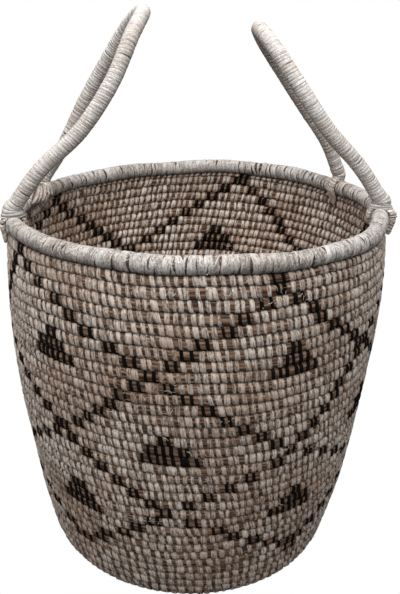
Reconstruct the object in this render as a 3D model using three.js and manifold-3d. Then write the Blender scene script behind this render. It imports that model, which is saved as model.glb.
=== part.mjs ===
// A coiled laundry basket: one long grass bundle wound out from the middle of the base and up
// the wall, finished with a fatter wrapped rim, and two stiff rope handles that lean inwards.
// Millimetres, +Z up, the floor at z = 0 and the basket's axis on x = y = 0.
import * as THREE from "three";
import { mergeVertices } from "three/addons/utils/BufferGeometryUtils.js";
import Module from "manifold-3d";

const wasm = await Module();
wasm.setup();

const degrees = Math.PI / 180;
const seatGap = 0.3; // between two pieces that rest on each other

// The coil: a bundle of grass, flattened where each row lies on the next
const coilThickness = 11;
const targetPitch = 11.5; // row to row; the real pitch divides the profile evenly
const rowGap = 0.7; // between one row and the next
const ridge = 2.6; // how far a row's middle stands out from its edges
const startKnotRadius = 8.6;
const coilStart = 180 * degrees; // azimuth where the winding starts, and ends whole turns later
const stepsPerTurn = 20;
const taperShare = 0.15; // share of the first and last turns that is too thin to make

// The profile of the coil's centre line, from the middle of the base to the rim
const baseFlatRadius = 133;
const footRadius = 161.3;
const footHeight = 28;
const footLean = 14.8 * degrees;
const footPull = 100;
const rimRadius = 194.1;
const rimHeight = 401;
const rimLean = 9.8 * degrees;
const rimPull = 84;

// The rim has sunk towards the left handle's rear leg, and the wall's upper rows with it
const sagDepth = 11;
const sagAzimuth = 162 * degrees;
const sagSpread = 100 * degrees; // to each side, where it has died away
const sagFrom = 150; // height where it begins

// The rim: a thicker bundle inside a sleeve of leaf strips that is open underneath
const rimTubeRadius = 8.7;
const rimWrapThickness = 1.5;
const rimSlit = 3; // width of the open seam that sits on the top row
const rimSteps = 40;
const rimSides = 10;
const boreSides = 8; // facets round the inside of a wrapped sleeve
const coreSides = 6;

// The handles: rope cores inside wrapped sleeves, with a bound knuckle at each leg's foot
const handleRopeRadius = 7.9;
const handleWrapThickness = 1.6;
const knuckleRadius = 7;
const knuckleGap = 0.4; // running clearance over the rim
const wrapStart = 11; // from the knuckle's centre to the sleeve's end
const handleSteps = 34;
const knuckleSides = 10;
const knuckleRings = 8;

// Each leg stands at an azimuth from the X axis towards the back. The arch leans inwards from
// upright and reaches up its leaning plane. Its legs wave out of that plane, inwards where the
// bow is positive.
const leftFrontLeg = -18.6 * degrees;
const leftRearLeg = 21.7 * degrees;
const leftLean = 33.5 * degrees;
const leftReach = 224.5;
const leftFrontBows = [2.3, 14.6, 14.6, 5.2];
const leftRearBows = [0, -5.9, -8.2, -7];
const rightFrontLeg = -8 * degrees;
const rightRearLeg = 30 * degrees;
const rightLean = 37 * degrees;
const rightReach = 205.5;
const rightFrontBows = [0, 6.3, 5.5, 2.7];
const rightRearBows = [-7.8, -6.9, -5.5, -2.6];
// The arch's outline from a foot to its top: share of the half span, share of the reach
const archOutline = [
  [0.98, 0.21],
  [0.91, 0.46],
  [0.77, 0.7],
  [0.46, 0.905],
];

// The tails: each leg's rope is split below its knuckle, and a tail goes down each side of the rim.
// The inner one of the left handle's rear leg runs along the rim towards the front as it goes down.
const tailRadius = 4.3;
const tailTopAngle = 66 * degrees; // from the top of the rim, where a tail starts
const tailReach = 0.85; // rows below the rim that a tail covers
const leftRearTailSlant = -13 * degrees; // from the leg's azimuth to the tail's end
const tailStops = 5; // points that a tail's route runs through
const tailSides = 8;
const tailSteps = 9;

const weldTolerance = 1e-4; // vertices nearer than this are one
const finishes = {
  coil: { color: 0xb3a08c, roughness: 0.9 },
  rim: { color: 0xd3cbc0, roughness: 0.8 },
  rope: { color: 0xcabfb1, roughness: 0.85 },
  core: { color: 0x7a6252, roughness: 0.95 },
};

const basket = new THREE.Group();

function addPiece(name, geometry, finish) {
  const mesh = new THREE.Mesh(geometry, new THREE.MeshStandardMaterial(finish));
  mesh.name = name;
  basket.add(mesh);
}

// How far a point on the basket has sunk
function sag(azimuth, height) {
  const past = THREE.MathUtils.euclideanModulo(azimuth - sagAzimuth + Math.PI, 2 * Math.PI);
  const away = Math.min(Math.abs(past - Math.PI) / sagSpread, 1);
  const round = (1 + Math.cos(Math.PI * away)) / 2;
  return sagDepth * round * THREE.MathUtils.smoothstep(height, sagFrom, rimHeight);
}

function addSunkPiece(name, geometry, finish) {
  const points = geometry.attributes.position;
  for (let i = 0; i < points.count; i++) {
    const azimuth = Math.atan2(points.getY(i), points.getX(i));
    points.setZ(i, points.getZ(i) - sag(azimuth, points.getZ(i)));
  }
  addPiece(name, geometry, finish);
}

// Profile: base, rounded foot and bulging wall, measured by its length from the axis
const baseLevel = coilThickness / 2;
const profile = new THREE.CurvePath();
const footCorner = footRadius - (footHeight - baseLevel) * Math.tan(footLean);
profile.add(
  new THREE.LineCurve(
    new THREE.Vector2(0, baseLevel),
    new THREE.Vector2(baseFlatRadius, baseLevel),
  ),
);
profile.add(
  new THREE.QuadraticBezierCurve(
    new THREE.Vector2(baseFlatRadius, baseLevel),
    new THREE.Vector2(footCorner, baseLevel),
    new THREE.Vector2(footRadius, footHeight),
  ),
);
profile.add(
  new THREE.CubicBezierCurve(
    new THREE.Vector2(footRadius, footHeight),
    new THREE.Vector2(
      footRadius + footPull * Math.sin(footLean),
      footHeight + footPull * Math.cos(footLean),
    ),
    new THREE.Vector2(
      rimRadius + rimPull * Math.sin(rimLean),
      rimHeight - rimPull * Math.cos(rimLean),
    ),
    new THREE.Vector2(rimRadius, rimHeight),
  ),
);
const profileLength = profile.getLength();

// A point in (radius, height), at a length along the profile and an offset outwards from it
function onProfile(length, offset) {
  const share = Math.min(Math.max(length / profileLength, 0), 1);
  const point = profile.getPointAt(share);
  const along = profile.getTangentAt(share);
  return new THREE.Vector2(point.x + offset * along.y, point.y - offset * along.x);
}

// Rows: the coil tapers in round the start knot, and tapers out under the rim
const startLength = startKnotRadius + rowGap;
const topLength = profileLength - rimTubeRadius - seatGap;
const turns = Math.round((topLength - startLength) / targetPitch) + 1;
const pitch = (topLength - startLength) / (turns - 1);
const baseTurns = Math.floor((baseFlatRadius - startLength) / pitch);

function rowEdges(turn) {
  const high = Math.min(startLength + pitch * turn - rowGap, topLength);
  const low = Math.max(startLength + pitch * (turn - 1), startLength);
  return [low, high];
}

function at(azimuth, radial) {
  return new THREE.Vector3(
    radial.x * Math.cos(azimuth),
    radial.x * Math.sin(azimuth),
    radial.y,
  );
}

// How much nearer the axis a ring of flat facets lies at an azimuth than its corners do
function facetShare(azimuth, facets) {
  const facet = (2 * Math.PI) / facets;
  const past = azimuth - facet * Math.floor(azimuth / facet);
  return Math.cos(facet / 2) / Math.cos(past - facet / 2);
}

// A closed tube through rings of points that all have the same count
function tubeThrough(rings) {
  const sides = rings[0].length;
  const positions = rings.flat().flatMap((p) => [p.x, p.y, p.z]);
  const faces = [];
  for (let i = 0; i + 1 < rings.length; i++) {
    for (let k = 0; k < sides; k++) {
      const a = i * sides + k;
      const b = i * sides + ((k + 1) % sides);
      faces.push(a, a + sides, b, b, a + sides, b + sides);
    }
  }
  const last = (rings.length - 1) * sides;
  for (let k = 1; k + 1 < sides; k++) {
    faces.push(0, k, k + 1, last, last + k + 1, last + k);
  }
  const tube = new THREE.BufferGeometry();
  tube.setAttribute("position", new THREE.Float32BufferAttribute(positions, 3));
  tube.setIndex(faces);
  tube.computeVertexNormals();
  return tube;
}

// Base rows are flat above and below; wall rows have a ridge that faces outwards
function rowSection(turn, ridged) {
  const [low, high] = rowEdges(turn);
  const half = coilThickness / 2;
  const edge = ridged ? half - ridge : half;
  const corners = [[low, -half], [low, edge]];
  if (ridged) corners.push([(low + high) / 2, half]);
  corners.push([high, edge], [high, -half]);
  const azimuth = coilStart + turn * 2 * Math.PI;
  return corners.map(([length, offset]) => at(azimuth, onProfile(length, offset)));
}

function leastSelfGap(rings) {
  let least = Infinity;
  for (let i = 0; i + stepsPerTurn < rings.length; i++) {
    for (const p of rings[i]) {
      for (const q of rings[i + stepsPerTurn]) least = Math.min(least, p.distanceTo(q));
    }
  }
  return least;
}

function addCoil(name, firstTurn, lastTurn, ridged) {
  const steps = Math.round((lastTurn - firstTurn) * stepsPerTurn);
  const rings = [];
  for (let i = 0; i <= steps; i++) {
    let turn = Math.min(firstTurn + i / stepsPerTurn, lastTurn);
    if (i === steps) turn -= seatGap / (2 * Math.PI * onProfile(rowEdges(turn)[0], 0).x);
    rings.push(rowSection(turn, ridged));
  }
  console.log(name + ": least gap to itself " + leastSelfGap(rings).toFixed(2) + " mm");
  addSunkPiece(name, tubeThrough(rings), finishes.coil);
}

// Start of the coil: the bundle's end bent tight round on itself and sewn to a button
const startKnot = new THREE.LatheGeometry(
  [
    new THREE.Vector2(0, 0),
    new THREE.Vector2(startKnotRadius, 0),
    new THREE.Vector2(startKnotRadius, coilThickness - ridge),
    new THREE.Vector2(startKnotRadius - ridge, coilThickness),
    new THREE.Vector2(0, coilThickness),
  ],
  stepsPerTurn,
);
startKnot.rotateX(Math.PI / 2);
addPiece("base_start_knot", startKnot, finishes.coil);

// The base rows, then the wall in three stretches of the same winding
addCoil("base_coil", taperShare, baseTurns, false);
const wallNames = ["wall_coil_lower", "wall_coil_middle", "wall_coil_upper"];
const wallTurns = turns - baseTurns;
wallNames.forEach((name, i) => {
  const first = baseTurns + Math.round((wallTurns * i) / wallNames.length);
  const last = baseTurns + Math.round((wallTurns * (i + 1)) / wallNames.length);
  addCoil(name, first, last === turns ? turns - taperShare : last, true);
});

// A ring round the basket's axis from a closed outline in (radius, height)
function ringFrom(outline) {
  const ring = new THREE.LatheGeometry([...outline, outline[0]], rimSteps);
  ring.rotateX(Math.PI / 2);
  return ring;
}

function circleOutline(radius, sides, from, to) {
  const points = [];
  for (let i = 0; i <= sides; i++) {
    const angle = from + ((to - from) * i) / sides;
    points.push(
      new THREE.Vector2(rimRadius + radius * Math.cos(angle), rimHeight + radius * Math.sin(angle)),
    );
  }
  return points;
}

const rimInner = rimTubeRadius - rimWrapThickness;
const rimCoreRadius = rimInner * Math.cos(Math.PI / boreSides) - seatGap;
const fullCircle = circleOutline(rimCoreRadius, coreSides, 0, 2 * Math.PI);
addSunkPiece("rim_core", ringFrom(fullCircle.slice(0, coreSides)), finishes.core);

const slitHalfAngle = Math.asin(rimSlit / 2 / rimTubeRadius);
const slitFrom = -Math.PI / 2 + slitHalfAngle;
const slitTo = (3 * Math.PI) / 2 - slitHalfAngle;
const rimOutline = circleOutline(rimTubeRadius, rimSides, slitFrom, slitTo);
rimOutline.push(...circleOutline(rimInner, boreSides, slitTo, slitFrom));
addSunkPiece("rim_wrap", ringFrom(rimOutline), finishes.rim);

// Handles
function solidFrom(geometry) {
  const bare = geometry.index ? geometry.toNonIndexed() : geometry.clone();
  bare.deleteAttribute("normal");
  bare.deleteAttribute("uv");
  const merged = mergeVertices(bare, weldTolerance);
  return new wasm.Manifold(
    new wasm.Mesh({
      numProp: 3,
      vertProperties: merged.attributes.position.array,
      triVerts: new Uint32Array(merged.index.array),
    }),
  );
}

function geometryFrom(solid) {
  const { vertProperties, triVerts, numProp } = solid.getMesh();
  const positions = [];
  for (let i = 0; i < vertProperties.length; i += numProp) {
    positions.push(vertProperties[i], vertProperties[i + 1], vertProperties[i + 2]);
  }
  const geometry = new THREE.BufferGeometry();
  geometry.setAttribute("position", new THREE.Float32BufferAttribute(positions, 3));
  geometry.setIndex(new THREE.BufferAttribute(triVerts, 1));
  geometry.computeVertexNormals();
  return geometry;
}

function discShape(radius, sides) {
  const shape = new THREE.Shape();
  for (let i = 0; i < sides; i++) {
    const angle = (2 * Math.PI * i) / sides;
    if (i === 0) shape.moveTo(radius, 0);
    else shape.lineTo(radius * Math.cos(angle), radius * Math.sin(angle));
  }
  shape.closePath();
  return shape;
}

function extrudeAlong(shape, path, steps) {
  return new THREE.ExtrudeGeometry(shape, { steps, extrudePath: path, curveSegments: 1 });
}

// The stretch of a curve between two of its lengths, as a curve of its own
class Stretch extends THREE.Curve {
  constructor(whole, from, to) {
    super();
    Object.assign(this, { whole, from, to });
  }
  getPoint(t, target = new THREE.Vector3()) {
    const length = this.from + (this.to - this.from) * t;
    return target.copy(this.whole.getPointAt(length / this.whole.getLength()));
  }
}

const knuckleHeight = rimHeight + rimTubeRadius + knuckleGap + knuckleRadius;

// Where a leg's bearing lies round the basket's axis
function bearingOf(handle, leg) {
  return handle.side > 0 ? leg : Math.PI - leg;
}

function legFoot(handle, leg) {
  const bearing = bearingOf(handle, leg);
  const height = knuckleHeight - sag(bearing, rimHeight);
  return at(bearing, new THREE.Vector2(rimRadius, height));
}

const handles = [
  {
    name: "left",
    side: -1,
    frontLeg: leftFrontLeg,
    rearLeg: leftRearLeg,
    lean: leftLean,
    reach: leftReach,
    frontBows: leftFrontBows,
    rearBows: leftRearBows,
    rearTailSlant: leftRearTailSlant,
  },
  {
    name: "right",
    side: 1,
    frontLeg: rightFrontLeg,
    rearLeg: rightRearLeg,
    lean: rightLean,
    reach: rightReach,
    frontBows: rightFrontBows,
    rearBows: rightRearBows,
    rearTailSlant: 0,
  },
];

for (const handle of handles) {
  const front = legFoot(handle, handle.frontLeg);
  const rear = legFoot(handle, handle.rearLeg);
  const middle = front.clone().add(rear).multiplyScalar(0.5);
  const across = rear.clone().sub(front).normalize();
  const halfSpan = front.distanceTo(rear) / 2;
  const inwards = new THREE.Vector3(-across.y, across.x, 0).setLength(handle.side);
  const up = new THREE.Vector3(0, 0, Math.cos(handle.lean));
  up.addScaledVector(inwards, Math.sin(handle.lean));
  const outOfPlane = inwards.clone().multiplyScalar(Math.cos(handle.lean));
  outOfPlane.z = -Math.sin(handle.lean);
  const archPoint = (shareAcross, shareUp, bow) =>
    middle
      .clone()
      .addScaledVector(across, shareAcross * halfSpan)
      .addScaledVector(up, shareUp * handle.reach)
      .addScaledVector(outOfPlane, bow);
  const arch = new THREE.CatmullRomCurve3([
    front,
    ...archOutline.map(([u, v], i) => archPoint(-u, v, handle.frontBows[i])),
    archPoint(0, 1, 0),
    ...archOutline.map(([u, v], i) => archPoint(u, v, handle.rearBows[i])).reverse(),
    rear,
  ]);

  const bore = handleRopeRadius - handleWrapThickness;
  const coreRadius = bore * Math.cos(Math.PI / boreSides) - seatGap;
  let core = solidFrom(extrudeAlong(discShape(coreRadius, coreSides), arch, handleSteps));
  for (const foot of [front, rear]) {
    const knuckle = new THREE.SphereGeometry(knuckleRadius, knuckleSides, knuckleRings);
    knuckle.translate(foot.x, foot.y, foot.z);
    core = core.add(solidFrom(knuckle));
  }
  addPiece("handle_" + handle.name + "_core", geometryFrom(core), finishes.core);

  const covered = new Stretch(arch, wrapStart, arch.getLength() - wrapStart);
  const sleeve = discShape(handleRopeRadius, boreSides);
  sleeve.holes.push(discShape(bore, boreSides));
  addPiece(
    "handle_" + handle.name + "_wrap",
    extrudeAlong(sleeve, covered, handleSteps),
    finishes.rope,
  );

  // Tails: over the shoulder of the rim, then down against the top rows of the wall
  const clearOfRim = rimTubeRadius + seatGap + tailRadius;
  const clearOfWall = coilThickness / 2 + seatGap + tailRadius;
  for (const [legName, leg] of [
    ["front", handle.frontLeg],
    ["rear", handle.rearLeg],
  ]) {
    for (const [faceName, face] of [
      ["outer", 1],
      ["inner", -1],
    ]) {
      const slant = leg === handle.rearLeg && face < 0 ? handle.rearTailSlant : 0;
      const bearings = Array.from({ length: tailStops }, (_, i) =>
        bearingOf(handle, leg + (slant * i) / (tailStops - 1)),
      );
      const sideAngle = Math.PI / 2;
      const shoulder = [tailTopAngle, (tailTopAngle + sideAngle) / 2, sideAngle];
      const path = shoulder.map(
        (angle, i) =>
          new THREE.Vector2(
            rimRadius * facetShare(bearings[i], rimSteps) + face * clearOfRim * Math.sin(angle),
            rimHeight + clearOfRim * Math.cos(angle),
          ),
      );
      for (const rows of [tailReach / 2, tailReach]) {
        const beside = onProfile(topLength - rows * pitch, face * clearOfWall);
        beside.x *= facetShare(bearings[path.length] - coilStart, stepsPerTurn);
        path.push(beside);
      }
      const route = new THREE.CatmullRomCurve3(path.map((p, i) => at(bearings[i], p)));
      addSunkPiece(
        ["tail", handle.name, legName, faceName].join("_"),
        extrudeAlong(discShape(tailRadius, tailSides), route, tailSteps),
        finishes.rope,
      );
    }
  }
}

export default basket;
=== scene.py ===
import math

import bpy
import numpy as np
from mathutils import Matrix


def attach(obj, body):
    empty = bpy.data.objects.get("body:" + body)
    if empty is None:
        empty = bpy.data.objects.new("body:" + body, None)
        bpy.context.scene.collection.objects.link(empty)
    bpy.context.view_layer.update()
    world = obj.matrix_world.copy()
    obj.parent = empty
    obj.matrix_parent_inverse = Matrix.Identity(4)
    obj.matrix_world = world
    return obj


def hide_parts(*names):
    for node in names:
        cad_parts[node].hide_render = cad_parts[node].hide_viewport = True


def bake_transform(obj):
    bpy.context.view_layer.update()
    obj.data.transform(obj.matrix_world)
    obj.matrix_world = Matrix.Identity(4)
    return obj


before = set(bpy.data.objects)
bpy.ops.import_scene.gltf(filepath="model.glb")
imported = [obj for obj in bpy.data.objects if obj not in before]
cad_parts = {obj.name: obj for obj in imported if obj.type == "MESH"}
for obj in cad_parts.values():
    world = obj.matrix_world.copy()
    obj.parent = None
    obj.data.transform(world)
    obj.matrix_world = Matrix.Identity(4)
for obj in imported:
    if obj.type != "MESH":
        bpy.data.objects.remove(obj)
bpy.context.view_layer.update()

# Grass bundle: dozens of dry grass stalks laid side by side, wound without a break from the
# middle of the base to under the rim. It shows brown between the stitches, streaked lengthwise.

# The winding has the sizes of the CAD model, in mm. Lengths run along the profile of the basket,
# from the middle of its base to the rim, and a row is one turn round it.
TAU = 2 * math.pi
coil_thickness = 11
row_gap = 0.7
rim_gap = 0.3
base_level = coil_thickness / 2
base_flat_radius = 133
foot_radius, foot_height, foot_lean, foot_pull = 161.3, 28, math.radians(14.8), 100
rim_radius, rim_height, rim_lean, rim_pull = 194.1, 401, math.radians(9.8), 84
rim_tube_radius = 8.7
sag_depth, sag_azimuth, sag_spread, sag_from = 11, math.radians(162), math.radians(100), 150
start_knot_radius = 8.6
target_pitch = 11.5
taper_share = 0.15
last_taper = 0.02
coil_start = math.pi

# The bundle's own section: powers below 1 square it, more outside than inside. It overlaps the
# next row by a hair, and what stands proud of it reaches half as far into the cleft between rows.
coil_core_thickness = 8.6
section_power_outside = 0.7
section_power_inside = 0.9
row_overlap = 0.1
lift_into_cleft = 0.5
above_floor = 0.05
coil_sides = 12
steps_per_turn = 150


def bezier(*controls, steps=400):
    """A curve from the first point to the last, drawn towards the ones between them."""
    t = np.linspace(0, 1, steps)[:, None]
    points = [np.array(p, float)[None, :] for p in controls]
    while len(points) > 1:
        points = [a * (1 - t) + b * t for a, b in zip(points, points[1:])]
    return points[0]


foot_corner = foot_radius - (foot_height - base_level) * math.tan(foot_lean)
profile = np.vstack(
    [
        bezier((0, base_level), (base_flat_radius, base_level)),
        bezier(
            (base_flat_radius, base_level), (foot_corner, base_level), (foot_radius, foot_height)
        )[1:],
        bezier(
            (foot_radius, foot_height),
            (
                foot_radius + foot_pull * math.sin(foot_lean),
                foot_height + foot_pull * math.cos(foot_lean),
            ),
            (
                rim_radius + rim_pull * math.sin(rim_lean),
                rim_height - rim_pull * math.cos(rim_lean),
            ),
            (rim_radius, rim_height),
        )[1:],
    ]
)
profile_lengths = np.r_[0, np.cumsum(np.hypot(*np.diff(profile, axis=0).T))]
profile_along = np.gradient(profile, profile_lengths, axis=0)
profile_along /= np.linalg.norm(profile_along, axis=1)[:, None]
start_length = start_knot_radius + row_gap
top_length = profile_lengths[-1] - rim_tube_radius - rim_gap
turns = round((top_length - start_length) / target_pitch) + 1
pitch = (top_length - start_length) / (turns - 1)
base_turns = math.floor((base_flat_radius - start_length) / pitch)
wall_turns = turns - base_turns


def on_profile(length, offset):
    """Radius and height at a length along the profile and an offset outwards from it."""
    radius, height, along_r, along_z = (
        np.interp(length, profile_lengths, column)
        for column in (*profile.T, *profile_along.T)
    )
    return radius + offset * along_z, height - offset * along_r


def sunk(points):
    """Points on the basket, lowered where the rim and the upper rows have sunk at the left, and
    made uneven by up to a millimetre or so, since each row was pulled tight by hand."""
    azimuth, height = np.arctan2(points[..., 1], points[..., 0]), points[..., 2]
    away = (azimuth - sag_azimuth + math.pi) % TAU - math.pi
    around = (1 + np.cos(np.pi * np.minimum(np.abs(away) / sag_spread, 1))) / 2
    share = np.clip((height - sag_from) / (rim_height - sag_from), 0, 1)
    lowered = sag_depth * around * share**2 * (3 - 2 * share)
    uneven = np.clip(height / 60 - 0.3, 0, 1)
    lowered = lowered + uneven * (
        0.8 * np.sin(5 * azimuth + height / 23) + 0.6 * np.sin(11 * azimuth - height / 17)
    )
    wider = 1 + uneven * (0.0035 * np.sin(4 * azimuth + height / 36) + 0.002 * np.sin(9 * azimuth))
    return np.stack([points[..., 0] * wider, points[..., 1] * wider, height - lowered], -1)


def row_edges(turn):
    """How far along the profile a row begins and ends, with half of the gap on each side."""
    low = np.maximum(start_length + pitch * (turn - 1), start_length)
    high = np.minimum(start_length + pitch * turn - row_gap, top_length)
    return low - row_gap / 2, high + row_gap / 2


def row_radius(turn):
    """Distance of a row's middle from the basket's axis."""
    return on_profile(sum(row_edges(turn)) / 2, 0)[0]


turn_steps = np.linspace(taper_share, turns - last_taper, 6000)
turn_radius = row_radius(turn_steps)
turn_lengths = np.r_[
    0, np.cumsum(np.diff(turn_steps) * TAU * (turn_radius[1:] + turn_radius[:-1]) / 2)
]


def turn_at(length):
    """Turns since the start of the coil, from the length along the winding."""
    return np.interp(length, turn_lengths, turn_steps)


def length_at(turn):
    """Length along the winding, from the turns since the start of the coil."""
    return np.interp(turn, turn_steps, turn_lengths)


def coil_surface(length, angle, lift):
    """A point on the bundle: its length along the winding, its angle round the bundle from the
    edge nearest the rim towards the outside, and how far it stands proud."""
    turn = turn_at(length)
    low, high = row_edges(turn)
    power = np.where(np.sin(angle) < 0, section_power_inside, section_power_outside)
    upwards = np.sign(np.cos(angle)) * np.abs(np.cos(angle)) ** power
    outwards = np.sign(np.sin(angle)) * np.abs(np.sin(angle)) ** power
    half_row = (high - low) / 2 + row_overlap + lift * lift_into_cleft
    radius, height = on_profile(
        (low + high) / 2 + half_row * upwards, (coil_core_thickness / 2 + lift) * outwards
    )
    height = np.maximum(height, above_floor)
    azimuth = coil_start + TAU * turn
    return sunk(np.stack([radius * np.cos(azimuth), radius * np.sin(azimuth), height], -1))


def painted_shade_between_rows(angle):
    """Painted shade in the clefts between rows; the outside also gets a little painted shade all over,
    so that it stays darker than the inside.
    """
    cleft = np.abs(np.cos(angle))
    return np.where(np.sin(angle) < 0, 0.4 * cleft**4, 0.16 + 0.84 * cleft**5)


MM = 0.001


def add_mesh(name, points, quads, strip, material, painted_shade=None):
    """A mesh object from points in mm and four-cornered faces. The strip attribute holds, at each
    point, how far it is along and across its own strand in mm, and a number that is the strand's.
    The painted shade attribute is 1 where the point lies deep between two rows, and 0 in the open."""
    points, strip = points.reshape(-1, 3), strip.reshape(-1, 3)
    mesh = bpy.data.meshes.new(name)
    mesh.vertices.add(len(points))
    mesh.vertices.foreach_set("co", (points * MM).astype(np.float32).ravel())
    mesh.loops.add(4 * len(quads))
    mesh.loops.foreach_set("vertex_index", quads.astype(np.int32).ravel())
    mesh.polygons.add(len(quads))
    mesh.polygons.foreach_set("loop_start", np.arange(0, 4 * len(quads), 4, dtype=np.int32))
    mesh.polygons.foreach_set("use_smooth", np.ones(len(quads), bool))
    mesh.update(calc_edges=True)
    attribute = mesh.attributes.new("strip", "FLOAT_VECTOR", "POINT")
    attribute.data.foreach_set("vector", strip.astype(np.float32).ravel())
    attribute = mesh.attributes.new("painted_shade", "FLOAT", "POINT")
    if painted_shade is not None:
        attribute.data.foreach_set("value", painted_shade.astype(np.float32).ravel())
    mesh.materials.append(material)
    piece = bpy.data.objects.new(name, mesh)
    bpy.context.scene.collection.objects.link(piece)
    return piece


def grid_quads(copies, rows, columns, closed_rows=False, closed_columns=False):
    """Faces of a number of like grids of points, each rows by columns."""
    i = np.arange(rows if closed_rows else rows - 1)[:, None]
    j = np.arange(columns if closed_columns else columns - 1)[None, :]
    i2, j2 = (i + 1) % rows, (j + 1) % columns
    one = np.stack([i * columns + j, i * columns + j2, i2 * columns + j2, i2 * columns + j], -1)
    one = one.reshape(1, -1, 4)
    return (one + np.arange(copies)[:, None, None] * rows * columns).reshape(-1, 4)


def in_the_open(angle):
    """No painted shade: leaf or grass that lies free all round."""
    return 0 * angle


def add_tube(name, surface, lengths, sides, girth, material, painted_shade=in_the_open):
    """A tube along a bundle, from its surface function. Its seam is where the angle is 0."""
    angle = np.linspace(0, TAU, sides, endpoint=False)
    points = surface(lengths[:, None], angle[None, :], np.zeros((len(lengths), sides)))
    strip = np.zeros(points.shape)
    strip[..., 0] = lengths[:, None]
    strip[..., 1] = angle[None, :] / TAU * girth
    painted_shade_share = np.broadcast_to(painted_shade(angle), points.shape[:2])
    quads = grid_quads(1, len(lengths), sides, closed_columns=True)
    return add_mesh(name, points, quads, strip, material, painted_shade_share)


def linear(hex_colour):
    """A colour read off an sRGB screen, as the linear RGBA that shaders take."""
    channels = [int(hex_colour[i : i + 2], 16) / 255 for i in (1, 3, 5)]
    return [c / 12.92 if c <= 0.04045 else ((c + 0.055) / 1.055) ** 2.4 for c in channels] + [1]


def add_node(tree, kind, inputs=None, **settings):
    """Adds a node: its settings by name, and its inputs by name or number, each a value or a link."""
    node = tree.nodes.new(kind)
    for name, value in settings.items():
        setattr(node, name, value)
    for name, value in (inputs or {}).items():
        if isinstance(value, bpy.types.NodeSocket):
            tree.links.new(value, node.inputs[name])
        else:
            node.inputs[name].default_value = value
    return node


def new_material(name):
    """An empty material and its node tree."""
    material = bpy.data.materials.new(name)
    material.use_nodes = True
    material.node_tree.nodes.clear()
    return material, material.node_tree


# The Mix node's sockets for colours, by number since their names repeat there
MIX_FIRST, MIX_SECOND, MIX_RESULT = 6, 7, 2


def paint_crease_shade(tree, colour):
    """Painted shade: browns whatever lies in the clefts between two rows."""
    painted_shade = add_node(tree, "ShaderNodeAttribute", attribute_name="painted_shade").outputs["Fac"]
    # Multiplies the colour by a dark brown as far as the painted shade attribute says: painted shade
    # in the clefts
    darker = add_node(
        tree,
        "ShaderNodeMix",
        {"Factor": painted_shade, MIX_FIRST: colour, MIX_SECOND: linear("#2a1d18")},
        data_type="RGBA",
        blend_type="MULTIPLY",
    )
    return darker.outputs[MIX_RESULT]


def strip_noise(tree, scale, detail, roughness):
    """Noise that keeps to each strand. The scale says how fast it changes for each mm along the
    strand and across it, and how far one strand's noise is from the next one's."""
    strip = add_node(tree, "ShaderNodeAttribute", attribute_name="strip").outputs["Vector"]
    at = add_node(tree, "ShaderNodeVectorMath", {0: strip, 1: scale}, operation="MULTIPLY")
    settings = {"Vector": at.outputs[0], "Scale": 1.0, "Detail": detail, "Roughness": roughness}
    return add_node(tree, "ShaderNodeTexNoise", settings).outputs["Fac"]


def dry_plant(tree, colour, height, relief_strength, relief_depth, roughness, shine):
    """What leaf and grass have in common: a matt skin, ridged by its fibres, with painted shade in
    creases.
    """
    relief = add_node(
        tree,
        "ShaderNodeBump",
        {"Height": height, "Strength": relief_strength, "Distance": relief_depth * MM},
    )
    shader = add_node(
        tree,
        "ShaderNodeBsdfPrincipled",
        {
            "Base Color": paint_crease_shade(tree, colour),
            "Roughness": roughness,
            "IOR": 1.45,
            "Specular IOR Level": shine,
            "Normal": relief.outputs[0],
        },
    )
    add_node(tree, "ShaderNodeOutputMaterial", {"Surface": shader.outputs[0]})


lower_end = base_turns + round(wall_turns / 3)
middle_end = base_turns + round(wall_turns * 2 / 3)
regions = [
    ("base_coil", taper_share, base_turns),
    ("wall_coil_lower", base_turns, lower_end),
    ("wall_coil_middle", lower_end, middle_end),
    ("wall_coil_upper", middle_end, turns - last_taper),
]

# Dry grass: matt stalks about 1.5 mm thick, light ones among brown ones, ridged along their length
grass, tree = new_material("dry_grass_bundle")
stalks = strip_noise(tree, (0.03, 0.65, 1.0), 2.5, 0.65)
stalk_share = add_node(
    tree, "ShaderNodeMapRange", {"Value": stalks, "From Min": 0.42, "From Max": 0.72}
)
stalk_colour = add_node(
    tree,
    "ShaderNodeMix",
    {
        "Factor": stalk_share.outputs[0],
        MIX_FIRST: linear("#3c2b23"),
        MIX_SECOND: linear("#b69479"),
    },
    data_type="RGBA",
)
dry_plant(
    tree,
    stalk_colour.outputs[MIX_RESULT],
    stalks,
    relief_strength=0.9,
    relief_depth=0.8,
    roughness=0.8,
    shine=0.3,
)

for region, first, last in regions:
    ring_turns = np.linspace(first, last, round((last - first) * steps_per_turn) + 1)
    piece = add_tube(
        region + "_grass",
        coil_surface,
        length_at(ring_turns),
        coil_sides,
        girth=coil_core_thickness * 3,
        material=grass,
        painted_shade=painted_shade_between_rows,
    )
    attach(piece, "basket")
    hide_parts(region)

# Pattern: black stitches in crossing diagonal lines, with a small stepped triangle in the middle
# of each diamond. It was sewn by eye, so the crossings are not quite evenly spaced.

# Rows are counted down from the rim, and bearings are in degrees from the front towards the right.
# A crossing is a row and a bearing. Triangles are the row of their tip, their bearings, and the
# width in mm of each of their rows.
crossings = [
    [(0.5, -57), (1.1, 22), (0.5, 91.5), (0.5, 162), (0.5, 241)],
    [(8.28, -10), (8.4, 56), (10.5, 129), (9, 208), (8.4, 282)],
    [(15.8, -40.3), (16.3, 30), (16.3, 102), (16.3, 174), (16.3, 246)],
    [(22.27, -6), (22, 75), (23, 138), (23, 210), (22.6, 282)],
    [(28.6, -39), (28.7, 41), (29.3, 107), (29.3, 178), (29.3, 250)],
]
triangles = [
    (6.5, [-41.5, 28.5, 100, 172, 243], [15, 37, 53]),
    (14.5, [-6, 66, 138, 210, 282], [15, 42, 60]),
    (21.5, [-37, 34.5, 105, 177, 249], [15, 38, 54]),
]

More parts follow.
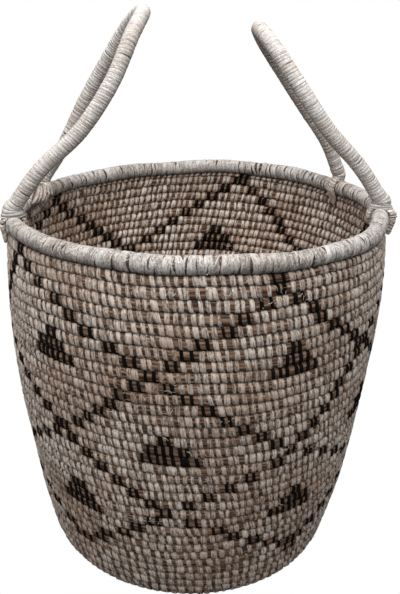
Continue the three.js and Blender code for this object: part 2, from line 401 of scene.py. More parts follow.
# Each stitch passes beside one of the row below, so their number stays the same for many rows and
# they stand in columns that lean a little; half as many again are sewn in above the foot.
counted_turns = (0, 13, 18.5, 25, turns)
stitches_per_turn = (7, 107.06, 107.06, 162.3, 162.3)
per_step = np.interp(turn_steps, counted_turns, stitches_per_turn)
counted = np.r_[0, np.cumsum(np.diff(turn_steps) * (per_step[1:] + per_step[:-1]) / 2)]
stitch_count = int(counted[-1])
places = np.interp(np.arange(stitch_count) + 0.5, counted, turn_lengths)
spacing = np.gradient(places)
chance = np.random.default_rng(7)
places += chance.normal(0, 0.75, stitch_count)
place_turns = turn_at(places)
row_down = turns - 0.5 - place_turns
bearing = np.degrees(coil_start + TAU * place_turns) + 90
mm_per_degree = row_radius(place_turns) * TAU / 360


def turned(degrees):
    """The same direction as a number of degrees from -180 to 180."""
    return (degrees + 180) % 360 - 180


# A line is a pair of thin black stitches in each row, one on each side of it. The top lines run on
# to the rim, and the lowest ones half a row past their last crossing. In the wall no two
# neighbouring stitches are further apart than widest_step, in degrees.
above_all_rows = -1
widest_step = 9
black = np.zeros(stitch_count, bool)
thin = np.zeros(stitch_count, bool)
for level, (starts, ends) in enumerate(zip(crossings, crossings[1:])):
    for k, (row_a, start) in enumerate(starts):
        for neighbour in (k - 1, k) if level % 2 == 0 else (k, k + 1):
            row_b, end = ends[neighbour % len(ends)]
            from_row = above_all_rows if level == 0 else row_a
            to_row = row_b + 0.5 if level == len(crossings) - 2 else row_b
            inside = (row_down >= from_row) & (row_down < to_row)
            share = np.clip((row_down - row_a) / (row_b - row_a), 0, 1)
            past = turned(bearing - start - share * turned(end - start))
            crossed = inside[:-1] & (past[:-1] < 0) & (past[1:] >= 0) & (past[1:] < widest_step)
            pairs = np.flatnonzero(crossed)[:, None] + (0, 1)
            black[pairs] = thin[pairs] = True
for apex_row, bearings, widths in triangles:
    for column in bearings:
        past = turned(bearing - column)
        part_turn = (math.radians(column - 90) - coil_start) / TAU % 1
        row = turns - np.round(place_turns - part_turn)
        apex = round(apex_row + 0.5 + part_turn)
        for step, width in enumerate(widths):
            filled = (np.abs(past * mm_per_degree) < width / 2) & (row == apex + step)
            black |= filled
            thin &= ~filled

# Stitches: each is a strip of split palm leaf passed round the bundle and sewn through the row
# below, so it shows as a rounded upright grain, a little aslant, with brown grass on each side.
stitch_angles = np.radians([0, 20, 45, 72, 108, 135, 160, 180, 202, 235, 270, 305, 338])


def add_bands(
    name, surface, places, angles, half_width, rise, edge, lean, material, girth, painted_shade=in_the_open
):
    """Closed bands of leaf round a bundle, one at each place in mm along it.
    half_width and lean are in mm, at each place and angle. rise is each band's height in mm, and
    edge the share of it that its two edges have. Each band is as if cut from another place of a
    long leaf, so that its streaks are its own."""
    across_share = np.array([-1, -0.8, 0, 0.8, 1])
    rise_share = edge + (1 - edge) * np.array([0, 0.84, 1, 0.84, 0])
    leaf_length = 400
    shape = (len(places), len(angles), len(across_share))
    across = half_width[:, :, None] * across_share
    length = places[:, None, None] + lean[:, :, None] + across
    lift = rise[:, None, None] * rise_share
    angle = np.broadcast_to(angles[None, :, None], shape)
    points = surface(length, angle, np.broadcast_to(lift, shape))
    strip = np.zeros(shape + (3,))
    own = chance.random(len(places))
    strip[..., 0] = angle / TAU * girth + own[:, None, None] * leaf_length
    strip[..., 1] = across
    strip[..., 2] = own[:, None, None]
    quads = grid_quads(len(places), len(angles), len(across_share), closed_rows=True)
    return add_mesh(name, points, quads, strip, material, painted_shade(angle))


def leaf_material(
    name,
    pale,
    deep,
    roughness,
    patch_colour,
    patch_share,
    shine=0.35,
    own_share=0.16,
    relief_strength=0.7,
):
    """Split palm leaf: fibres that streak it lengthwise, frayed specks where they have split, and
    each strip a little lighter or darker than the next. Patches of the piece turn another tone."""
    material, tree = new_material(name)
    strip = add_node(tree, "ShaderNodeAttribute", attribute_name="strip").outputs["Vector"]
    own = add_node(tree, "ShaderNodeSeparateXYZ", {"Vector": strip}).outputs["Z"]
    own_tone = add_node(tree, "ShaderNodeTexWhiteNoise", {"W": own}, noise_dimensions="1D")
    # Streaks are about 8 mm long and 1.3 mm wide, and specks 2.4 mm by 1.4 mm
    streaks = strip_noise(tree, (0.12, 0.8, 37.0), 3.0, 0.6)
    specks = strip_noise(tree, (0.42, 0.7, 53.0), 3.0, 0.7)
    fibres = add_node(tree, "ShaderNodeMath", {0: streaks, 1: specks}, operation="ADD")
    tone = add_node(
        tree,
        "ShaderNodeMath",
        {0: own_tone.outputs["Value"], 1: own_share, 2: fibres.outputs[0]},
        operation="MULTIPLY_ADD",
    )
    share = add_node(
        tree, "ShaderNodeMapRange", {"Value": tone.outputs[0], "From Min": 0.9, "From Max": 1.24}
    )
    colour = add_node(
        tree,
        "ShaderNodeMix",
        {"Factor": share.outputs[0], MIX_FIRST: linear(deep), MIX_SECOND: linear(pale)},
        data_type="RGBA",
    )
    place = add_node(tree, "ShaderNodeTexCoord").outputs["Object"]
    # Patches are about 70 mm across
    patches_per_metre = 14.0
    patches = add_node(
        tree, "ShaderNodeTexNoise", {"Vector": place, "Scale": patches_per_metre, "Detail": 2.0}
    )
    patch = add_node(
        tree,
        "ShaderNodeMapRange",
        {"Value": patches.outputs["Fac"], "From Min": 0.42, "From Max": 0.68, "To Max": patch_share},
    )
    toned = add_node(
        tree,
        "ShaderNodeMix",
        {
            "Factor": patch.outputs[0],
            MIX_FIRST: colour.outputs[MIX_RESULT],
            MIX_SECOND: linear(patch_colour),
        },
        data_type="RGBA",
        blend_type="MULTIPLY",
    )
    dry_plant(
        tree,
        toned.outputs[MIX_RESULT],
        fibres.outputs[0],
        relief_strength,
        relief_depth=0.6,
        roughness=roughness,
        shine=shine,
    )
    return material


def varied(mean, spread, least, most, count):
    """As many sizes as are asked for, which differ by chance about a mean, within limits."""
    return np.clip(chance.normal(mean, spread, count), least, most)


# Cream palm leaf, split and dried: matt, streaked from pale to brown, no two strips quite alike
cream_leaf = leaf_material(
    "cream_palm_leaf_stitches",
    pale="#e2d6cb",
    deep="#7a695d",
    roughness=0.75,
    patch_colour="#d9c4b6",
    patch_share=0.7,
    own_share=0.2,
)
# Black-dyed palm leaf: the dye has soaked in and dulled it, so the streaks hardly show
black_leaf = leaf_material(
    "black_dyed_palm_leaf_stitches",
    pale="#16100f",
    deep="#040202",
    roughness=0.9,
    patch_colour="#e8e0dc",
    patch_share=0.5,
    shine=0.12,
)
half_widths = np.clip(spacing * chance.normal(0.345, 0.065, stitch_count), 1.6, 4.2)
half_widths[black] = varied(2.1, 0.25, 1.6, 2.7, black.sum())
half_widths[thin] = varied(1.85, 0.25, 1.4, 2.4, thin.sum())
rises = varied(1.15, 0.2, 0.7, 1.6, stitch_count)
# In mm along the bundle: how far each stitch leans, and how far its foot hooks sideways into the
# row below, where thin black ones hook the most
slants = chance.normal(1.05, 0.45, stitch_count)
hooks = chance.normal(1.6, 0.6, stitch_count)
hooks[thin] = chance.normal(4.2, 0.8, thin.sum())
hook_share = np.clip((-np.cos(stitch_angles) - 0.55) / 0.45, 0, 1) ** 2
leans = -slants[:, None] * np.cos(stitch_angles) + hooks[:, None] * hook_share
waist = 0.78 + 0.22 * np.abs(np.sin(stitch_angles))
inside_share = np.clip(-np.sin(stitch_angles), 0, 1)
sunken_edge = -0.4
for region, first, last in regions:
    here = (place_turns >= first) & (place_turns < last)
    for kind, chosen, leaf, material_slot, widening_inside in (
        ("stitches", here & ~black, cream_leaf, "stitched_coil", -0.08),
        ("black_stitches", here & black, black_leaf, "black_leaf_stitch", 0.45),
    ):
        if not chosen.any():
            continue
        piece = add_bands(
            region + "_" + kind,
            coil_surface,
            places[chosen],
            stitch_angles,
            half_width=half_widths[chosen, None] * (waist + widening_inside * inside_share),
            rise=rises[chosen],
            edge=sunken_edge,
            lean=leans[chosen],
            material=leaf,
            girth=coil_thickness * 3,
            painted_shade=painted_shade_between_rows,
        )
        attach(piece, "basket")

# Start of the coil: the bundle's end bent tight on itself in the middle of the base, and covered
# with stitches that all pass through its middle.
knot_angles = np.radians([0, 40, 75, 105, 140, 180, 220, 255, 285, 320])
knot_stitches = 13
knot_rings, knot_sides, knot_bundle_girth = 49, 10, 24
knot_inset_sideways, knot_inset_upright = 0.2, 0.7


def knot_surface(length, angle, lift):
    """The knot as a small ring of bundle: length goes round it in mm."""
    azimuth = length / start_knot_radius
    half_wide = start_knot_radius / 2 - knot_inset_sideways + lift * 0.6
    half_high = base_level - knot_inset_upright + lift
    radius = np.maximum(start_knot_radius / 2 + half_wide * np.cos(angle), 0.05)
    height = base_level + half_high * np.sin(angle)
    return np.stack([radius * np.cos(azimuth), radius * np.sin(azimuth), height], -1)


knot_length = TAU * start_knot_radius
piece = add_tube(
    "base_start_knot_grass",
    knot_surface,
    np.linspace(0, knot_length, knot_rings),
    knot_sides,
    girth=knot_bundle_girth,
    material=grass,
)
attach(piece, "basket")
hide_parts("base_start_knot")
piece = add_bands(
    "base_start_knot_stitches",
    knot_surface,
    (np.arange(knot_stitches) + 0.5) * knot_length / knot_stitches,
    knot_angles,
    half_width=np.full((knot_stitches, len(knot_angles)), 1.7),
    rise=np.full(knot_stitches, 0.7),
    edge=sunken_edge,
    lean=np.zeros((knot_stitches, len(knot_angles))),
    material=cream_leaf,
    girth=knot_bundle_girth,
)
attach(piece, "basket")

# Rim: a thicker grass bundle laid on the last row and wound edge to edge with pale leaf strips,
# which part here and there into thin dark slits and, in a few places, show the grass.
rim_core_radius = 7.6
rim_length = TAU * rim_radius
rim_rings, rim_sides = 241, 16


def rim_surface(length, angle, lift):
    """A point on the rim: its length round the basket from the right, its angle round the tube
    from the top towards the outside, and how far it stands proud of the grass."""
    azimuth = length / rim_radius
    radius = rim_radius + (rim_core_radius + lift) * np.sin(angle)
    height = rim_height + (rim_core_radius + lift) * np.cos(angle)
    return sunk(np.stack([radius * np.cos(azimuth), radius * np.sin(azimuth), height], -1))


def painted_shade_under_rim(angle):
    """Painted shade below, where the rim lies on the last row."""
    return np.clip(-np.cos(angle), 0, 1) ** 4


def painted_shade_under_leaf(angle):
    """Painted shade all round: a core that shows only where its wrapping parts, and lies in its
    shadow.
    """
    return 0.6 + 0 * angle


piece = add_tube(
    "rim_core_grass",
    rim_surface,
    np.linspace(0, rim_length, rim_rings),
    rim_sides,
    girth=rim_core_radius * TAU,
    material=grass,
    painted_shade=painted_shade_under_leaf,
)
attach(piece, "basket")
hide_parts("rim_core")

# Pale palm leaf, aged: greyer than the stitches, streaked along the strip and browner in patches
rim_leaf = leaf_material(
    "pale_palm_leaf_rim_wrap",
    pale="#bdb8b4",
    deep="#6e6761",
    roughness=0.75,
    patch_colour="#ddd2c8",
    patch_share=0.6,
    own_share=0.2,
)

# The strips differ in width by chance. A slit is a gap at one side of a strip, and its middle and
# half its length are in degrees round the tube.
rim_angles = np.radians(np.arange(0, 360, 18))
rim_count = 240
rim_overlap = 0.3
rim_weights = varied(1, 0.35, 0.4, 1.9, rim_count)
rim_ends = np.cumsum(rim_weights) / rim_weights.sum() * rim_length
rim_starts = np.r_[0, rim_ends[:-1]]
rim_halves = (rim_ends - rim_starts) / 2 + rim_overlap
slit_widths = np.where(chance.random(rim_count) < 0.85, chance.uniform(1.5, 2.7, rim_count), 0)
slit_widths[chance.random(rim_count) < 0.08] = 3.2
slit_middles = chance.uniform(-170, 170, rim_count)
slit_lengths = chance.uniform(45, 120, rim_count)
from_slit = np.abs(turned(np.degrees(rim_angles)[None, :] - slit_middles[:, None]))
slits = slit_widths[:, None] * np.clip(1.4 - 1.4 * from_slit / slit_lengths[:, None], 0, 1)
rim_twist = chance.normal(0.6, 1.1, rim_count)
piece = add_bands(
    "rim_wrap_strips",
    rim_surface,
    (rim_starts + rim_ends) / 2,
    rim_angles,
    half_width=rim_halves[:, None] - slits / 2,
    rise=varied(1.1, 0.18, 0.7, 1.5, rim_count),
    edge=0.2,
    lean=rim_twist[:, None] * np.cos(rim_angles + 0.6) - slits / 2,
    material=rim_leaf,
    girth=rim_tube_radius * TAU,
    painted_shade=painted_shade_under_rim,
)
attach(piece, "basket")
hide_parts("rim_wrap")

# Handles: stiff twisted rope wound with leaf strips. Each is an arch that leans in over the mouth,
# from a knuckle above the rim at each leg, and each leg bows a little out of the arch's plane.

# Side is 1 on the right and -1 on the left, and legs are in degrees from that side towards the
# back. Lean is in degrees. Reach is the height of the arch in its own plane, and bows are how far
# it stands out of that plane at the points of arch_outline, shares of half the span and of reach.
# The bound foot takes over from the handle's own wrapping wrap_start from each knuckle.
UPRIGHT = np.array([0, 0, 1])
handle_radius = 7.9
handle_core_radius = 6.9
knuckle_radius, knuckle_gap = 7, 0.4
knuckle_above_rim = UPRIGHT * (rim_tube_radius + knuckle_gap + knuckle_radius)
wrap_start = 11
core_into_foot, wrap_into_foot = 4, 3
handle_rings, handle_sides = 121, 10
arch_outline = [(0.98, 0.21), (0.91, 0.46), (0.77, 0.7), (0.46, 0.905)]
handles = {
    "left": {
        "side": -1,
        "legs": {"front": -18.6, "rear": 21.7},
        "lean": 33.5,
        "reach": 224.5,
        "front_bows": (2.3, 14.6, 14.6, 5.2),
        "rear_bows": (0, -5.9, -8.2, -7),
    },
    "right": {
        "side": 1,
        "legs": {"front": -8, "rear": 30},
        "lean": 37,
        "reach": 205.5,
        "front_bows": (0, 6.3, 5.5, 2.7),
        "rear_bows": (-7.8, -6.9, -5.5, -2.6),
    },
}
# Cream palm leaf wound tight on the rope: smoother than the stitches, with faint streaks
rope_leaf = leaf_material(
    "cream_palm_leaf_handle_wrap",
    pale="#cfccc9",
    deep="#a49c95",
    roughness=0.75,
    patch_colour="#e3dbd4",
    patch_share=0.7,
    own_share=0.12,
    relief_strength=0.35,
)


def smooth_path(knots, steps=24):
    """A smooth curve through points, the same one as in the CAD model."""
    knots = np.array(knots, float)
    ends = np.vstack([2 * knots[0] - knots[1], knots, 2 * knots[-1] - knots[-2]])
    parts = []
    for p0, p1, p2, p3 in zip(ends, ends[1:], ends[2:], ends[3:]):
        d0, d1, d2 = (math.sqrt(np.linalg.norm(b - a)) for a, b in ((p0, p1), (p1, p2), (p2, p3)))
        m1 = ((p1 - p0) / d0 - (p2 - p0) / (d0 + d1) + (p2 - p1) / d1) * d1
        m2 = ((p2 - p1) / d1 - (p3 - p1) / (d1 + d2) + (p3 - p2) / d2) * d1
        t = np.linspace(0, 1, steps, endpoint=False)[:, None]
        parts.append(
            (2 * t**3 - 3 * t**2 + 1) * p1
            + (t**3 - 2 * t**2 + t) * m1
            + (-2 * t**3 + 3 * t**2) * p2
            + (t**3 - t**2) * m2
        )
    return np.vstack([*parts, knots[-1:]])


class Rope:
    """A path in space with a direction out to one side of it at each point, kept from twisting."""

    def __init__(self, path, side):
        self.path = path
        self.lengths = np.r_[0, np.cumsum(np.linalg.norm(np.diff(path, axis=0), axis=1))]
        along = np.gradient(path, self.lengths, axis=0)
        self.along = along / np.linalg.norm(along, axis=1)[:, None]
        out = side - (self.along @ side)[:, None] * self.along
        self.out = out / np.linalg.norm(out, axis=1)[:, None]
        self.over = np.cross(self.along, self.out)

    def at(self, length):
        """The middle of the rope at a length along it, and its directions out and over."""
        return [
            np.stack([np.interp(length, self.lengths, column) for column in field.T], -1)
            for field in (self.path, self.out, self.over)
        ]

    def surface(self, out_radius, over_radius):
        """A surface function whose radii, out to the side and across, may change with length."""

        def points(length, angle, lift):
            middle, out, over = self.at(length)
            wide = (out_radius(length) + lift) * np.cos(angle)
            deep = (over_radius(length) + lift) * np.sin(angle)
            return middle + out * wide[..., None] + over * deep[..., None]

        return points


def on_rim(side, leg):
    """The middle of the rim's tube where a leg stands, its azimuth in degrees from the X axis."""
    leg = math.radians(leg)
    middle = (side * rim_radius * math.cos(leg), rim_radius * math.sin(leg), rim_height)
    return sunk(np.array(middle))


rope_angles = np.radians(np.arange(0, 360, 30))


def wrap_strips(length_from, length_to, mean_pitch, overlap, parting):
    """Places and half widths of strips wound edge to edge along a rope. Parting is the share of
    them that leave a gap."""
    count = round((length_to - length_from) / mean_pitch)
    weights = varied(1, 0.25, 0.5, 1.7, count)
    ends = length_from + np.cumsum(weights) / weights.sum() * (length_to - length_from)
    starts = np.r_[length_from, ends[:-1]]
    halves = (ends - starts) / 2 + overlap
    gaps = chance.random(count) < parting
    halves[gaps] -= chance.uniform(0.3, 0.9, gaps.sum())
    return (starts + ends) / 2, halves


def add_winding(name, rope_surface, strips, rise, edge, lean, material, girth):
    """Leaf wound round a rope, in strips from wrap_strips. Rise is a mean, a spread and two
    limits, and lean a mean and a spread, in mm."""
    strip_places, strip_halves = strips
    rises = varied(*rise, len(strip_places))
    strip_leans = chance.normal(*lean, len(strip_places))
    return add_bands(
        name,
        rope_surface,
        strip_places,
        rope_angles,
        strip_halves[:, None] * np.ones(len(rope_angles)),
        rises,
        edge,
        strip_leans[:, None] * np.cos(rope_angles + 1),
        material,
        girth,
    )


def arch_path(side, legs, lean, reach, front_bows, rear_bows):
    """The middle line of a handle, and the direction square to the plane of its arch."""
    front, rear = (on_rim(side, leg) + knuckle_above_rim for leg in legs.values())
    middle, half_span = (front + rear) / 2, np.linalg.norm(rear - front) / 2
    across = (rear - front) / (2 * half_span)
    inwards = side * np.array([-across[1], across[0], 0]) / math.hypot(across[0], across[1])
    lean = math.radians(lean)
    up = inwards * math.sin(lean) + UPRIGHT * math.cos(lean)
    out_of_plane = inwards * math.cos(lean) - UPRIGHT * math.sin(lean)

    def point(share_across, share_up, bow):
        in_plane = middle + across * share_across * half_span + up * share_up * reach
        return in_plane + out_of_plane * bow

    knots = [front]
    knots += [point(-u, v, bow) for (u, v), bow in zip(arch_outline, front_bows)]
    knots += [point(0, 1, 0)]
    knots += [point(u, v, bow) for (u, v), bow in zip(arch_outline, rear_bows)][::-1]
    knots += [rear]
    return smooth_path(knots), out_of_plane


arches = {}
for name, handle in handles.items():
    rope = Rope(*arch_path(**handle))
    arches[name] = rope
    whole = rope.lengths[-1]
    core_start = wrap_start - core_into_foot
    strips_start = wrap_start - wrap_into_foot
    core = rope.surface(lambda s: handle_core_radius, lambda s: handle_core_radius)
    piece = add_tube(
        f"handle_{name}_rope",
        core,
        np.linspace(core_start, whole - core_start, handle_rings),
        handle_sides,
        girth=handle_core_radius * TAU,
        material=grass,
        painted_shade=painted_shade_under_leaf,
    )
    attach(piece, name + "_handle")
    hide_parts(f"handle_{name}_core")

    piece = add_winding(
        f"handle_{name}_strips",
        core,
        wrap_strips(
            strips_start, whole - strips_start, mean_pitch=3.0, overlap=0.35, parting=0
        ),
        rise=(0.95, 0.08, 0.6, 1.4),
        edge=0.55,
        lean=(0.9, 0.5),
        material=rope_leaf,
        girth=handle_radius * TAU,
    )
    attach(piece, name + "_handle")
    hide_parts(f"handle_{name}_wrap")

# Feet of the handles: under its knuckle each rope is split in two, and the halves straddle the rim
# as flat wrapped tails, thinner towards their ends, lashed to the top rows inside and outside the
# wall. The outer ones are flat over the rim's shoulder, where the leg lies when it is folded out.

# Of each tail: half its thickness, half its width and its drop down the wall in mm, and how far it
# slants in degrees. Flare is how far the foot of the leg spreads across the rim in mm.
foot_sizes = {
    "left_front": {"outer": (3.4, 6.8, 12, 0), "inner": (3.0, 5.4, 9, 0), "flare": 5.2},
    "left_rear": {"outer": (3.4, 5.6, 12, 0), "inner": (3.6, 5.8, 7, -13), "flare": 5.2},
    "right_front": {"outer": (5.6, 9.0, 12, 0), "inner": (3.2, 5.4, 9, 0), "flare": 5.2},
    "right_rear": {"outer": (3.4, 5.4, 12, 0), "inner": (3.6, 7.0, 11, 0), "flare": -0.6},
}
# Pale palm leaf of the tails: coarser than on the handle, with darker streaks and more relief
tail_leaf = leaf_material(
    "pale_palm_leaf_tail_wrap",
    pale="#d8cfc7",
    deep="#8c8178",
    roughness=0.75,
    patch_colour="#e2d6cc",
    patch_share=0.6,
)
tail_steps, tail_rings, tail_sides = 8, 25, 12
tail_girth = 24
tail_seat = 0.8
top_rounding = 4
leaf_thickness = 0.8
bound_radius = 7.2
bound_squeeze = 1.6
bound_into_leg = 4
saddle_depth = 1
bound_rings, bound_sides = 20, 12


def tail_path(side, leg, face, thick, drop, slant):
    """The middle line of a tail, over the rim's shoulder and down the wall, and its half thickness
    at each of the line's knots. Face is 1 outside the wall and -1 inside it. Tail_seat is how much
    of the half thickness stands between that line and what the tail lies on."""
    shoulder = [(14, thick), (38, thick), (64, thick), (88, thick)]
    if face == 1:
        shoulder = [(14, 0.9), (36, 0.9), (50, 1.5), (64, 0.7 * thick), (88, thick)]
    line = []
    for degrees, half_thick in shoulder:
        clear = rim_tube_radius + tail_seat * half_thick
        angle = math.radians(degrees)
        beside = rim_radius + face * clear * math.sin(angle)
        line.append((beside, rim_height + clear * math.cos(angle)))
    down_wall = (0.35, 0.7, 1)
    for share in down_wall:
        clear = coil_thickness / 2 + tail_seat * thick * (1 - 0.5 * share)
        line.append(on_profile(top_length + 1 - drop * share, face * clear))
    azimuths = np.radians(leg + slant * np.linspace(0, 1, len(line)) ** 1.3)
    knots = [
        (side * beside * math.cos(azimuth), beside * math.sin(azimuth), height)
        for (beside, height), azimuth in zip(line, azimuths)
    ]
    half_thicks = [half_thick for _, half_thick in shoulder] + [thick] * len(down_wall)
    return sunk(smooth_path(knots, tail_steps)), half_thicks


def tail_core(tail, half_thicks, wide):
    """The surface of a tail under its leaf: flat, round at both ends, and narrower downwards."""
    long = tail.lengths[-1]

    def closing(s):
        top_round = np.sqrt(1 - 0.99 * np.clip(1 - s / top_rounding, 0, 1) ** 2)
        end_round = np.sqrt(1 - 0.99 * np.clip((s - long + wide) / wide, 0, 1) ** 2)
        return top_round * end_round * (1 - 0.35 * s / long)

    def thickness(s):
        half_thick = np.interp(s, tail.lengths[::tail_steps], half_thicks)
        return np.maximum(half_thick - leaf_thickness, 0.3) * closing(s)

    return tail.surface(thickness, lambda s: (wide - leaf_thickness) * closing(s))


def bend_surface(bend, flare, inset=0):
    """The bound bend between a leg and its tails: round above, and below it spreads across the rim
    and is squeezed along it."""
    long = bend.lengths[-1]
    return bend.surface(
        lambda s: bound_radius + flare * np.clip(s / long, 0, 1) ** 2 - inset,
        lambda s: bound_radius - bound_squeeze * np.clip(s / long, 0, 1) ** 2 - inset,
    )


legs = [
    (name, handle["side"], leg_name, leg)
    for name, handle in handles.items()
    for leg_name, leg in handle["legs"].items()
]
for name, side, leg_name, leg in legs:
    radial = np.array([side * math.cos(math.radians(leg)), math.sin(math.radians(leg)), 0])
    sizes = foot_sizes[name + "_" + leg_name]
    for face_name, face in (("outer", 1), ("inner", -1)):
        thick, wide, drop, slant = sizes[face_name]
        path, half_thicks = tail_path(side, leg, face, thick, drop, slant)
        tail = Rope(path, radial * face)
        long = tail.lengths[-1]
        core = tail_core(tail, half_thicks, wide)
        piece = add_tube(
            f"tail_{name}_{leg_name}_{face_name}_rope",
            core,
            np.linspace(0, long, tail_rings),
            tail_sides,
            girth=tail_girth,
            material=grass,
        )
        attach(piece, "basket")
        piece = add_winding(
            f"tail_{name}_{leg_name}_{face_name}_strips",
            core,
            wrap_strips(0.5, long - 0.5, mean_pitch=2.9, overlap=0.2, parting=0.1),
            rise=(0.85, 0.15, 0.5, 1.2),
            edge=0.1,
            lean=(1.6, 0.5),
            material=tail_leaf,
            girth=tail_girth,
        )
        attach(piece, "basket")
        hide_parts(f"tail_{name}_{leg_name}_{face_name}")

    # The bend between the leg and its tails, bound round and round with leaf
    rope = arches[name]
    at_front = leg_name == "front"
    top = rope.at(np.array(wrap_start + 1.0 if at_front else rope.lengths[-1] - wrap_start - 1))[0]
    foot = on_rim(side, leg) + knuckle_above_rim
    saddle = on_rim(side, leg) + UPRIGHT * (rim_tube_radius - saddle_depth)
    bend = Rope(smooth_path([top, (top + foot) / 2, foot, (foot + saddle) / 2, saddle], 8), radial)
    long = bend.lengths[-1]
    piece = add_tube(
        f"foot_{name}_{leg_name}_knuckle",
        bend_surface(bend, sizes["flare"], inset=0.2),
        np.linspace(-bound_into_leg, long, bound_rings),
        bound_sides,
        girth=handle_radius * TAU,
        material=rope_leaf,
    )
    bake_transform(piece)
    piece = add_winding(
        f"foot_{name}_{leg_name}_strips",
        bend_surface(bend, sizes["flare"]),
        wrap_strips(-0.5, long, mean_pitch=2.7, overlap=0.3, parting=0),
        rise=(0.95, 0.2, 0.5, 1.4),
        edge=0.1,
        lean=(0.6, 0.7),
        material=rope_leaf,
        girth=handle_radius * TAU,
    )
    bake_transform(piece)

# Folds at the left handle's rear leg: the end of its leaf was pleated into a fan, which lies over
# the rim on the inside, from the foot of the leg towards the front.

# Crumpled palm leaf: dull, and a little browner than the wrapping
fold_leaf = leaf_material(
    "crumpled_palm_leaf_folds",
    pale="#cdc0b6",
    deep="#8e8177",
    roughness=0.8,
    patch_colour="#e0d0c6",
    patch_share=0.5,
)


def painted_shade_beside_fold(angle):
    """Painted shade where one fold lies against the next."""
    return np.abs(np.sin(angle)) ** 3


# Each fold runs over the rim from one root, near the leg, to an end of its own. Bearings are in
# degrees from the left towards the back, and angles round the rim's tube from the top outwards.
fold_root_bearing, fold_root_angle = 20.5, -8
fold_steps, fold_rings, fold_sides, fold_girth = 14, 26, 12, 16
fold_clearance = 2.6
fold_side = np.array([1.0, 0.0, 0.3])
fold_ends = [(5, -80), (8.5, -91), (12.5, -99), (16.5, -105), (20, -104)]
for number, (end_bearing, end_angle) in enumerate(fold_ends):
    share = np.linspace(0, 1, fold_steps)
    azimuth = math.pi - np.radians(
        fold_root_bearing + (end_bearing - fold_root_bearing) * share**0.8
    )
    round_rim = np.radians(fold_root_angle + (end_angle - fold_root_angle) * share)
    clear = rim_tube_radius + fold_clearance + fold_clearance * np.sin(math.pi * share)
    clear = clear + chance.normal(0, 0.3)
    beside = rim_radius + clear * np.sin(round_rim)
    height = rim_height + clear * np.cos(round_rim)
    path = np.stack([beside * np.cos(azimuth), beside * np.sin(azimuth), height], -1)
    fold = Rope(sunk(path), fold_side)
    long = fold.lengths[-1]
    fat = 3.4 + chance.normal(0, 0.35)

    def fold_radius(s):
        closing = np.sqrt(1 - 0.995 * np.clip(s / long * 4 - 3, 0, 1) ** 2)
        return (fat * (0.7 + 0.45 * np.sin(2.6 * s / long)) + 0.4 * np.sin(s + number)) * closing

    piece = add_tube(
        f"foot_left_rear_fold_{number + 1}",
        fold.surface(fold_radius, lambda s: 0.85 * fold_radius(s)),
        np.linspace(0, long, fold_rings),
        fold_sides,
        girth=fold_girth,
        material=fold_leaf,
        painted_shade=painted_shade_beside_fold,
    )
    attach(piece, "basket")

# Loose fibres: hair-thin splinters of palm leaf that have frayed out of the stitches and the rim
# with handling. They curl a little and stand a few millimetres proud, pale against the brown.

# Split palm leaf fibre: dry and matt, nearly white
loose_leaf = leaf_material(
    "frayed_palm_leaf_fibre",
    pale="#f2ede6",
    deep="#c4b8ac",
    roughness=0.8,
    patch_colour="#ece2da",
    patch_share=0.5,
)


def add_fibres(name, surface, whole_length, count, middle_angle, angle_spread, foot_lift, round_mm):
    """Thin curling ribbons that start at chance places on a bundle, a few close together. Angles
    are in degrees round the bundle, and the rest in mm."""
    steps = 7
    tufts = chance.uniform(0, whole_length, count // 5)
    start = (chance.choice(tufts, count) + chance.normal(0, 9, count))[:, None, None]
    start = np.clip(start, 12, whole_length - 12)
    angle = np.radians(chance.normal(middle_angle, angle_spread, count))[:, None, None]
    share = np.linspace(0, 1, steps)[None, :, None]
    long = chance.uniform(3, 8.5, count)[:, None, None]
    heading = chance.uniform(0, TAU, count)[:, None, None]
    curl = chance.normal(0, 2, count)[:, None, None]
    width = chance.uniform(0.35, 0.65, count)[:, None, None] * (1 - 0.6 * share)
    edge = np.array([-0.5, 0.5])[None, None, :]
    direction = heading + curl * share
    along = long * share * np.cos(direction) - edge * width * np.sin(direction)
    across = long * share * np.sin(direction) + edge * width * np.cos(direction)
    lift = foot_lift + chance.uniform(0.2, 1.5, count)[:, None, None] * share + 0 * edge
    points = surface(start + along, angle + 0.6 * across / round_mm, lift)
    strip = np.zeros(points.shape)
    strip[..., 0] = long * share + 0 * edge
    strip[..., 1] = edge * width
    strip[..., 2] = chance.random(count)[:, None, None]
    piece = add_mesh(name, points, grid_quads(count, steps, 2), strip, loose_leaf)
    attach(piece, "basket")
    return piece


for name, count, middle_angle, angle_spread in (("outside", 1700, 90, 32), ("inside", 600, 270, 32)):
    piece = add_fibres(
        "coil_fibres_" + name,
        coil_surface,
        turn_lengths[-1],
        count,
        middle_angle,
        angle_spread,
        foot_lift=1.0,
        round_mm=coil_thickness / 2,
    )
piece = add_fibres(
    "rim_fibres",
    rim_surface,
    rim_length,
    count=700,
    middle_angle=30,
    angle_spread=70,
    foot_lift=1.0,
    round_mm=rim_tube_radius,
)

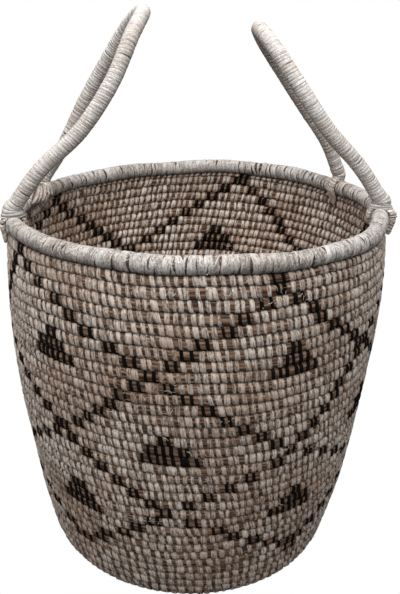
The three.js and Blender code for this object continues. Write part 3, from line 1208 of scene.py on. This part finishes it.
# Floor and backdrop: plain white, lit by the lamps for the light they throw back, and a flat
# white to the camera as in a cut-out studio picture.
paper, tree = new_material("white_paper")
rays = add_node(tree, "ShaderNodeLightPath").outputs
lit = add_node(tree, "ShaderNodeBsdfDiffuse", {"Color": linear("#505050")})
flat = add_node(tree, "ShaderNodeEmission", {"Color": (1, 1, 1, 1), "Strength": 1.0})
mixed = add_node(
    tree, "ShaderNodeMixShader", {0: rays["Is Camera Ray"], 1: lit.outputs[0], 2: flat.outputs[0]}
)
add_node(tree, "ShaderNodeOutputMaterial", {"Surface": mixed.outputs[0]})
floor_corners = np.array([(-4000, -4000, 0), (4000, -4000, 0), (4000, 4000, 0), (-4000, 4000, 0)])
floor = add_mesh("floor", floor_corners, np.array([[0, 1, 2, 3]]), np.zeros((4, 3)), paper)

world = bpy.data.worlds.new("studio")
bpy.context.scene.world = world
world.use_nodes = True
tree = world.node_tree
tree.nodes.clear()
rays = add_node(tree, "ShaderNodeLightPath").outputs
around = add_node(tree, "ShaderNodeBackground", {"Color": (1, 1, 1, 1), "Strength": 0.48})
behind = add_node(tree, "ShaderNodeBackground", {"Color": (1, 1, 1, 1), "Strength": 1.0})
mixed = add_node(
    tree, "ShaderNodeMixShader", {0: rays["Is Camera Ray"], 1: around.outputs[0], 2: behind.outputs[0]}
)
add_node(tree, "ShaderNodeOutputWorld", {"Surface": mixed.outputs[0]})

# Lamps: one large soft box nearly overhead and a weaker one lower in front
for name, power, size, place, aim in (
    ("key_softbox", 57, 1.7, (-0.1, -0.45, 2.1), (0, 0, 0.3)),
    ("front_softbox", 8, 1.4, (-0.1, -1.5, 1.3), (0, 0, 0.3)),
):
    lamp = bpy.data.lights.new(name, "AREA")
    lamp.energy, lamp.size = power, size
    holder = bpy.data.objects.new(name, lamp)
    bpy.context.scene.collection.objects.link(holder)
    away = np.array(place) - np.array(aim)
    away /= np.linalg.norm(away)
    right = np.cross(UPRIGHT, away)
    right /= np.linalg.norm(right)
    turned_to = Matrix([*zip(right, np.cross(away, right), away)])
    holder.matrix_world = Matrix.Translation(place) @ turned_to.to_4x4()

# Camera: a little above the rim and close, so the near wall widens and the mouth shows its inside.
# Its place is in metres, and it looks down and is rolled by some degrees.
camera_place = (0, -0.8027, 0.6224)
camera_down, camera_roll = 22.31, 1.5
camera = bpy.data.cameras.new("camera")
camera.lens = 46.45
camera.shift_x = 0.00965
camera_holder = bpy.data.objects.new("camera", camera)
bpy.context.scene.collection.objects.link(camera_holder)
camera_holder.matrix_world = (
    Matrix.Translation(camera_place)
    @ Matrix.Rotation(math.radians(90 - camera_down), 4, "X")
    @ Matrix.Rotation(math.radians(camera_roll), 4, "Z")
)
bpy.context.scene.camera = camera_holder
bpy.context.scene.view_settings.view_transform = "Standard"
